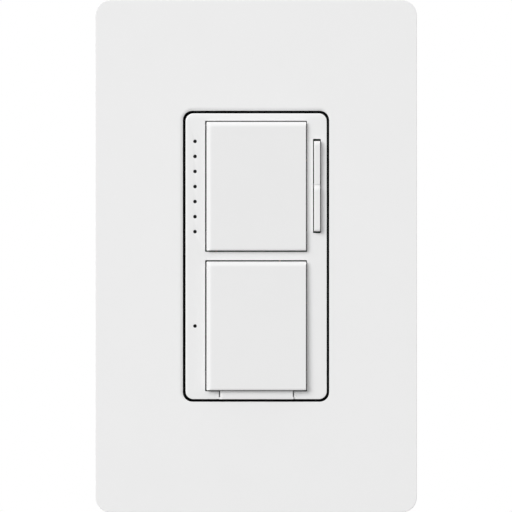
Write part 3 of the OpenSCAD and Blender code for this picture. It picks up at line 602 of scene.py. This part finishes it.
def bezel():
    low, high = node_box("front_bezel")
    half_w, half_h, face = high.x, high.z, low.y
    right_end, top_end = half_w - RIGHT_SHORT, half_h - TOP_SHORT
    back = face + FACE_T
    left, right = APERTURE_X
    z0, z1 = LOWER_Z
    # The lower button's opening runs into the tab's notch, so both are part of the outline
    outline = rounded_path([
        (-half_w, -half_h, BEZEL_R), (NOTCH_X[0], -half_h, NOTCH_R),
        (NOTCH_X[0], z0, NOTCH_INNER_R), (left, z0, APERTURE_R), (left, z1, APERTURE_R),
        (right, z1, APERTURE_R), (right, z0, APERTURE_R), (NOTCH_X[1], z0, NOTCH_INNER_R),
        (NOTCH_X[1], -half_h, NOTCH_R), (right_end, -half_h, BEZEL_R),
        (right_end, top_end, BEZEL_R), (-half_w, top_end, BEZEL_R)], 8)

    def edge(p):
        if abs(p.x) < NOTCH_X[1] + 0.01 and p.y < z0 - 0.3:
            return HOLE_EDGE
        if abs(p.x) > half_w - BEZEL_R or abs(p.y) > half_h - BEZEL_R:
            top, side = (min(1, max(0, d / BEZEL_R + 1)) for d in (p.y - half_h, -p.x - half_w))
            return [least + top * (most - least) + (1 - top) * side * (lit - least)
                    for least, lit, most in zip(LOW_RIM, LEFT_RIM, TOP_RIM)]
        return HOLE_EDGE

    slot_path = rect_path(*SLOT_X, PIVOT[2] - SLOT_H / 2, PIVOT[2] + SLOT_H / 2, 0.2)
    holes = [rect_path(left, right, *UPPER_Z, APERTURE_R), slot_path]
    holes += [circle_path(LIGHT_X, z, LIGHT_R) for z in LEVEL_LIGHTS + [SWITCH_LIGHT]]
    frame_face = pierced_plate("front_frame", outline, holes, face, back, edge, HOLE_EDGE)

    def around(gap, y):
        return at(rect_path(gap - half_w, right_end - gap, gap - half_h, top_end - gap,
                            BEZEL_R - gap), y)

    inner_top = UPPER_Z[1]
    inside = rect_path(WALL_T - half_w, half_w - WALL_T, -inner_top, inner_top, 0.5)
    # The wall stands 0.01 mm in from the face's rim, so that their sides don't coincide
    wall = ring_solid("wall", [
        around(0.01, back - OVERLAP), around(0.01, high.y - 0.1), around(0.1, high.y),
        at(inside, high.y), at(inside, back - OVERLAP)])
    parts = [wall]
    for side in (-1, 1):
        near = right if side > 0 else left
        xs = sorted((near, near + side * RIB_T))
        parts.append(block("rib", (xs[0], back - OVERLAP, -inner_top - 0.1),
                           (xs[1], RIB_BACK, inner_top + 0.1)))
    parts.append(block("bar", (left - 0.1, back - OVERLAP, z1),
                       (right + 0.1, RIB_BACK, UPPER_Z[0])))
    parts.append(block("boss", (right + RIB_T - 0.1, back - OVERLAP, PIVOT[2] - BOSS_HALF),
                       (SLOT_X[0], RIB_BACK - BOSS_SHORT, PIVOT[2] + BOSS_HALF)))
    combine(frame_face, parts, "UNION")
    cuts = [block("notch", (NOTCH_X[0], face - 1, -half_h - 1),
                  (NOTCH_X[1], face + NOTCH_DEPTH, z0 + OVERLAP)),
            block("blade_slot", (-BLADE_HALF - 0.1, face, low.z + 0.69),
                  (BLADE_HALF + 0.1, 0, z0 + 0.3)),
            block("slit", (NOTCH_X[0] - SLIT_OUT, face, -half_h - 1),
                  (NOTCH_X[0] + SLIT_IN, SLIT_BACK, z0 + OVERLAP)),
            block("slit", (NOTCH_X[1] - SLIT_IN, face, -half_h - 1),
                  (NOTCH_X[1] + SLIT_OUT, SLIT_BACK, z0 + OVERLAP)),
            turned("pivot_bore", (PIVOT[1], PIVOT[2]), "x",
                   [(PIVOT[0] - PIVOT_BORE_HALF, PIVOT_BORE_R),
                    (PIVOT[0] + PIVOT_BORE_HALF, PIVOT_BORE_R)], 24)]
    cuts += [turned("bore", (HINGE_Y, z), "x", [(left - RIB_T - 0.2, PIN_R + PIN_GAP),
                                                (right + RIB_T + 0.2, PIN_R + PIN_GAP)])
             for z in HINGES]
    combine(frame_face, cuts, "DIFFERENCE")
    piece(clean(frame_face), "base", ["front_bezel"], "bezel_plastic")


# Front roundings of a button: how far each reaches in from the edge, and how deep it is
SOFT_REACH, SOFT_DEPTH = 1.2, 0.9
RIGHT_REACH, RIGHT_DEPTH = 0.16, 0.16
LOW_REACH, LOW_DEPTH = 0.5, 0.22
CAP_T = 1.6
SKIRT_T = 1.2
SKIRT_BACK = -3.6
BUTTON_R = 0.2
PIN_END = (12.75, 12.95)
# Hooks behind the bezel's ribs: below the button's middle, half their height, back and outer end
HOOK_DROP, HOOK_HALF, HOOK_BACK, HOOK_END = 12, 1.5, -2.6, 12.6


def button(node, body, hinge_z, key_y, fall):
    """A tap button. Its face falls back by fall from the bottom to the top."""
    low, high = node_box(node)
    x0, x1, z0, z1 = *BUTTON_X, low.z, high.z

    def face_y(z):
        return low.y + fall * (z - z0) / (z1 - z0)

    loops = [at(rect_path(x0 + SKIRT_T, x1 - SKIRT_T, z0 + SKIRT_T, z1 - SKIRT_T, 0.3), y)
             for y in (low.y + CAP_T, SKIRT_BACK)]
    loops.append(at(rect_path(x0 + 0.1, x1 - 0.1, z0 + 0.1, z1 - 0.1, BUTTON_R - 0.1),
                    SKIRT_BACK))
    loops += eased_loops((x0, x1), (z0, z1), BUTTON_R, face_y, SKIRT_BACK - 0.1,
                         (SOFT_REACH, RIGHT_REACH, LOW_REACH, SOFT_REACH),
                         (SOFT_DEPTH, RIGHT_DEPTH, LOW_DEPTH, SOFT_DEPTH))
    shell = solid(node + "_shell", loops)

    parts = []
    for side in (-1, 1):
        outer = x1 if side > 0 else x0
        xs = sorted((outer - side * SKIRT_T / 2, side * PIN_END[0], side * PIN_END[1]))
        radii = (PIN_R, PIN_R, PIN_R - 0.15) if side > 0 else (PIN_R - 0.15, PIN_R, PIN_R)
        parts.append(turned("pin", (HINGE_Y, hinge_z), "x", list(zip(xs, radii))))
        hook_z = (z0 + z1) / 2 - HOOK_DROP
        for ends, front in (((outer - side * SKIRT_T, outer), SKIRT_BACK - 0.5),
                            ((outer - side * 0.4, side * HOOK_END), RIB_BACK + 0.05)):
            parts.append(block("hook", (min(ends), front, hook_z - HOOK_HALF),
                               (max(ends), HOOK_BACK, hook_z + HOOK_HALF)))
    cap = low.y + CAP_T
    parts.append(turned("post", (0, hinge_z - 10), "y",
                        [(cap - 0.05, 1.2), (key_y - 0.23, 1.2), (key_y - 0.03, 1.0)]))
    spring = node_box(node + "_spring")
    parts.append(turned("guide", (0, (spring[0].z + spring[1].z) / 2), "y",
                        [(cap - 0.05, 1.0), (-4.3, 1.0), (-4.0, 0.7)]))
    combine(shell, parts, "UNION")
    piece(shell, body, [node], "button_plastic")


def rocker():
    low, high = node_box("dim_rocker")
    middle, half = PIVOT[2], (high.z - low.z) / 2
    half_w, back, shift = 0.7175, -4.2, 0.035
    valley = middle + 0.15
    low_reach, low_depth, high_reach, high_depth = 0.6, 0.3, 1.1, 0.6
    valley_up, valley_down, upper_fall, dip, step, sink = 0.42, 1.3, 0.26, 0.16, 0.36, 0.03
    left_edge, right_edge, drop = 0.3, 0.14, 0.05
    foot_at, foot_half = 7, 1.2

    def face_y(z):
        """Falls from the top to a short dip, then rises in a long curve to the lower half."""
        d = z - valley
        if d > 0:
            return low.y + upper_fall * (1 - d / half) + dip * max(0, 1 - d / valley_up)
        return low.y + sink + step * max(0, 1 + d / valley_down) ** 2

    stations = [(middle - half + low_reach * a, low_depth * b) for a, b in quarter(5)]
    stations += [(middle + k * half, 0.0) for k in (-0.6, -0.3)]
    stations += [(valley + k * valley_down, 0.0) for k in (-1, -0.8, -0.6, -0.4, -0.2, 0)]
    stations += [(valley + k * valley_up, 0.0) for k in (0.15, 0.5, 0.9, 1.1)]
    stations += [(middle + k * half, 0.0) for k in (0.3, 0.6)]
    stations += [(middle + half - high_reach * a, high_depth * b) for a, b in reversed(quarter(6))]
    loops = []
    for z, sunk in stations:
        front = face_y(z) + sunk
        loop = [Vector((half_w, back, z)), Vector((-half_w, back, z))]
        loop += [Vector((-half_w + left_edge * a, front + left_edge * b, z))
                 for a, b in quarter(5)]
        loop += [Vector((half_w - right_edge * a, front + right_edge * b, z))
                 for a, b in reversed(quarter(5))]
        loops.append(loop)
    bar = solid("rocker_bar", loops)
    parts = []
    for side in (-1, 1):
        z = middle + side * foot_at
        parts.append(block("foot", (-half_w + 0.02, back - 0.2, z - foot_half),
                           (half_w - 0.02, high.y, z + foot_half), 0.1))
    for o in parts + [bar]:
        o.data.transform(Matrix.Translation(((PIVOT[0] + shift) * MM, 0, -drop * MM)))
    parts.append(turned("pivot", (PIVOT[1], PIVOT[2]), "x",
                        [(low.x, 0.5), (low.x + 0.1, 0.6), (high.x - 0.1, 0.6), (high.x, 0.5)], 24))
    combine(bar, parts, "UNION")
    piece(bar, "rocker", ["dim_rocker"], "rocker_plastic")


def tab():
    low, high = node_box("service_tab")
    narrow, wide = (-8.42, 8.53), (-8.62, 8.69)
    back = node_box("front_bezel")[0].y + 1.5

    def slab(name, x, z, low_reach):
        return solid(name, eased_loops(x, z, 0.08, lambda height: low.y, back,
                                       (0.9, 0.1, low_reach, 0.04), (0.36, 0.1, 0.08, 0.05), 0.1))

    grip = slab("service_tab_grip", narrow, (TAB_STEP_Z - 0.1, LOWER_Z[0] + 0.12), 0)
    foot = slab("foot", wide, (low.z - 0.03, TAB_STEP_Z), 0.15)
    combine(grip, [foot], "UNION")
    full = rect_path(-BLADE_HALF, BLADE_HALF, *BLADE_Z, 0.2)
    tip = rect_path(-BLADE_HALF + 0.8, BLADE_HALF - 0.8, *BLADE_Z, 0.2)
    blade = solid("blade", [at(full, back - 0.1), at(full, high.y - 1.2), at(tip, high.y)])
    combine(grip, [blade], "UNION")
    piece(grip, "tab", ["service_tab"], "bezel_plastic")


plate_cover()
bezel()
button("dimmer_button", "upper_button", HINGES[0], node_box("dimmer_key_plunger")[0].y, 0.1)
button("switch_button", "lower_button", HINGES[1], node_box("switch_key_plunger")[0].y, 0.4)
rocker()
tab()


# ---------- springs ----------

def coil_spring(button_name, turns):
    """A coil of round wire with flat end turns."""
    wire, steps, sides, flat, slack = 0.22, 20, 10, 0.75, 0.02
    low, high = node_box(button_name + "_spring")
    x, z, mean = (low.x + high.x) / 2, (low.z + high.z) / 2, (high.x - low.x) / 2 - wire
    total, length = turns + 2, high.y - low.y - 2 * wire
    rows = []
    for i in range(total * steps + 1):
        turn = i / steps
        along = min(max(turn - flat, 0) / (total - 2 * flat), 1)
        a = 2 * math.pi * turn
        centre = Vector((x + mean * math.cos(a), low.y + wire + length * along,
                         z + mean * math.sin(a)))
        out = Vector((math.cos(a), 0, math.sin(a)))
        rows.append([centre + wire * (math.cos(b) * out + math.sin(b) * Vector((0, 1, 0)))
                     for b in (2 * math.pi * k / sides for k in range(sides))])
    made = solid(button_name + "_coil", rows)
    piece(made, "base", [button_name + "_spring"], "spring_steel")
    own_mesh(made)


coil_spring("dimmer_button", 5)
coil_spring("switch_button", 4)


# ---------- screws ----------

def screw(name, centre, seat, end, head_r, head_t, shank_r, neck=None, cross=False):
    """A pan-head screw along +Y: a domed head in front of the seat, and a cut thread behind it.
    neck gives the radius and the end of a plain part before the thread."""
    pitch, thread_depth, per_turn, count = 0.8, 0.28, 6, 24

    def threaded(y, fade):
        def radius(a):
            phase = (y / pitch - a / (2 * math.pi)) % 1
            return shank_r - thread_depth * fade * abs(2 * phase - 1)
        return radius

    profile = [(seat - head_t, head_r * 0.45), (seat - head_t * 0.96, head_r * 0.66),
               (seat - head_t * 0.8, head_r * 0.86), (seat - head_t * 0.55, head_r * 0.97),
               (seat - head_t * 0.3, head_r), (seat - 0.06, head_r), (seat, head_r - 0.08)]
    first = seat
    if neck:
        profile += [(seat, neck[0]), (neck[1], neck[0])]
        first = neck[1]
    rows = int((end - first) / pitch * per_turn)
    for i in range(1, rows):
        y = first + (end - first) * i / rows
        fade = min(1, (y - first) / pitch, (end - y) / pitch)
        profile.append((y, threaded(y, fade)))
    profile += [(end - 0.02, shank_r * 0.8), (end, shank_r * 0.7)]
    made = turned(name, centre, "y", profile, count)
    x, z = centre
    deep, half = seat - head_t * 0.45, 0.45
    cuts = [block("slot", (x - head_r - 1, seat - head_t - 1, z - half),
                  (x + head_r + 1, deep, z + half))]
    if cross:
        cuts.append(block("slot", (x - half, seat - head_t - 1, z - head_r * 0.6),
                          (x + half, deep, z + head_r * 0.6)))
    return combine(made, cuts, "DIFFERENCE")


def pair(name, node, first, second):
    """Makes one steel piece of two screws."""
    mesh = bmesh.new()
    mesh.from_mesh(first.data)
    mesh.from_mesh(second.data)
    mesh.to_mesh(first.data)
    mesh.free()
    bpy.data.objects.remove(second)
    first.name = name
    piece(first, "base", [node], "screw_steel")


def screws():
    high = node_box("box_screws")[1]
    yoke_front = node_box("mounting_yoke")[0].y
    head_r = 3.6
    place = high.z - head_r
    pair("box_screw_pair", "box_screws",
         *[screw("box_screw", (0, side * place), yoke_front, high.y, head_r, 2.0, 1.75,
                 (1.5, 0.05), cross=True) for side in (-1, 1)])
    low, high = node_box("adapter_screws")
    seat = node_box("wallplate_adapter")[0].y + 1.2
    place = high.z - (high.x - low.x) / 2
    pair("adapter_screw_pair", "adapter_screws",
         *[screw("adapter_screw", (0, side * place), seat, high.y, high.x, 1.5, 1.7)
           for side in (-1, 1)])


screws()


# ---------- carried-over CAD nodes ----------

def refine(node, slot, bevel):
    """Keeps a CAD node's shape, with merged faces, eased edges and its material."""
    o = frame["nodes"][node]
    o.data.materials.clear()
    o.data.materials.append(MATERIALS[slot])
    weld = o.modifiers.new("weld", "WELD")
    weld.merge_threshold = 1e-6
    flatten = o.modifiers.new("planar", "DECIMATE")
    flatten.decimate_type = "DISSOLVE"
    flatten.angle_limit = math.radians(1.5)
    ease = o.modifiers.new("ease", "BEVEL")
    ease.width = bevel * MM
    ease.segments = 2
    ease.limit_method = "ANGLE"
    ease.angle_limit = math.radians(40)
    ease.use_clamp_overlap = True
    ease.harden_normals = False
    normals = o.modifiers.new("normals", "WEIGHTED_NORMAL")
    normals.keep_sharp = True


slots = {p["node"]: p["material_slot"] for p in frame["record"]["subparts"]}
# How wide each node's edges are eased, where that is not USUAL_EASE
USUAL_EASE = 0.12
EASE = {"rear_housing": 0.25, "wallplate_adapter": 0.15, "relay": 0.4,
        "film_capacitor": 0.6, "terminal_screws": 0.2,
        "electrolytic_capacitor": 0.4, "choke_winding": 0.2, "choke_core": 0.5,
        "level_light_pipe": 0.05, "switch_light_pipe": 0.03, "controller_chip": 0.05,
        "control_parts": 0.1, "level_leds": 0.08, "switch_led": 0.08,
        "power_resistors": 0.3, "thermal_fuse": 0.3, "varistor": 0.8}
for node, o in frame["nodes"].items():
    if not o.hide_render:
        refine(node, slots[node], EASE.get(node, USUAL_EASE))


# ---------- floor, light and camera ----------

def stage_floor():
    """Flat round the object, then falling away behind it, so that the camera looks over it."""
    mesh = bmesh.new()
    below, near, flat_to, far, slope = 4.6, -900, 280, 3000, 60
    bottom = cad_low.z / MM - below
    rows = [[mesh.verts.new((x, y, z)) for x in (-far, far)]
            for y, z in ((near, bottom), (flat_to, bottom),
                         (far, bottom - (far - flat_to) / slope))]
    for a, b in zip(rows, rows[1:]):
        mesh.faces.new((a[0], a[1], b[1], b[0]))
    floor = make_object("studio_floor", mesh)
    floor.data.materials.append(moulded("studio_floor", (0.74, 0.74, 0.74), 0.01, (0.6, 0.75), 900,
                                        0.05))
    floor.visible_diffuse = False


def area_light(name, direction, distance, size, power):
    light = bpy.data.lights.new(name, "AREA")
    light.shape = "DISK"
    light.size = size
    light.energy = power
    light.spread = math.pi
    lamp = bpy.data.objects.new(name, light)
    toward = Vector(direction).normalized()
    lamp.location = toward * distance
    lamp.rotation_mode = "QUATERNION"
    lamp.rotation_quaternion = toward.to_track_quat("Z", "Y")
    bpy.context.scene.collection.objects.link(lamp)


def world_light(seen, below, above):
    """The camera sees plain white. The object is lit by a softer light, brighter from above."""
    world = bpy.data.worlds.new("studio")
    bpy.context.scene.world = world
    world.use_nodes = True
    tree = world.node_tree
    tree.nodes.clear()
    path = tree.nodes.new("ShaderNodeLightPath")
    far, near = (tree.nodes.new("ShaderNodeBackground") for _ in range(2))
    for node in (far, near):
        node.inputs["Color"].default_value = (1, 1, 1, 1)
    near.inputs["Strength"].default_value = seen
    where = tree.nodes.new("ShaderNodeTexCoord")
    split = tree.nodes.new("ShaderNodeSeparateXYZ")
    tree.links.new(where.outputs["Generated"], split.inputs["Vector"])
    tree.links.new(spread(tree, split.outputs["Z"], below, above, -1, 1), far.inputs["Strength"])
    mix = tree.nodes.new("ShaderNodeMixShader")
    out = tree.nodes.new("ShaderNodeOutputWorld")
    tree.links.new(path.outputs["Is Camera Ray"], mix.inputs["Fac"])
    tree.links.new(far.outputs["Background"], mix.inputs[1])
    tree.links.new(near.outputs["Background"], mix.inputs[2])
    tree.links.new(mix.outputs["Shader"], out.inputs["Surface"])


def front_camera():
    camera = bpy.data.cameras.new("front_camera")
    camera.type = "PERSP"
    camera.sensor_width = 36
    distance, seen_height = 4000, 119.04
    shift_x, shift_y, shift_z = -0.05, 1.3, 0.05
    camera.lens = camera.sensor_width * distance / seen_height
    camera.clip_start, camera.clip_end = 0.1, 50
    view = bpy.data.objects.new("front_camera", camera)
    view.location = Vector((shift_x, cad_low.y / MM + shift_y - distance, shift_z)) * MM
    view.rotation_euler = (math.pi / 2, 0, 0)
    bpy.context.scene.collection.objects.link(view)
    bpy.context.scene.camera = view


stage_floor()
world_light(1.0, 0.03, 0.83)
area_light("key", (-0.52, -0.77, 0.36), 6.0, 4.2, 280)
area_light("back_fill", (0.5, 0.75, 0.45), 6.0, 3.0, 90)
front_camera()
bpy.context.scene.view_settings.view_transform = "Standard"
bpy.context.scene.view_settings.look = "None"
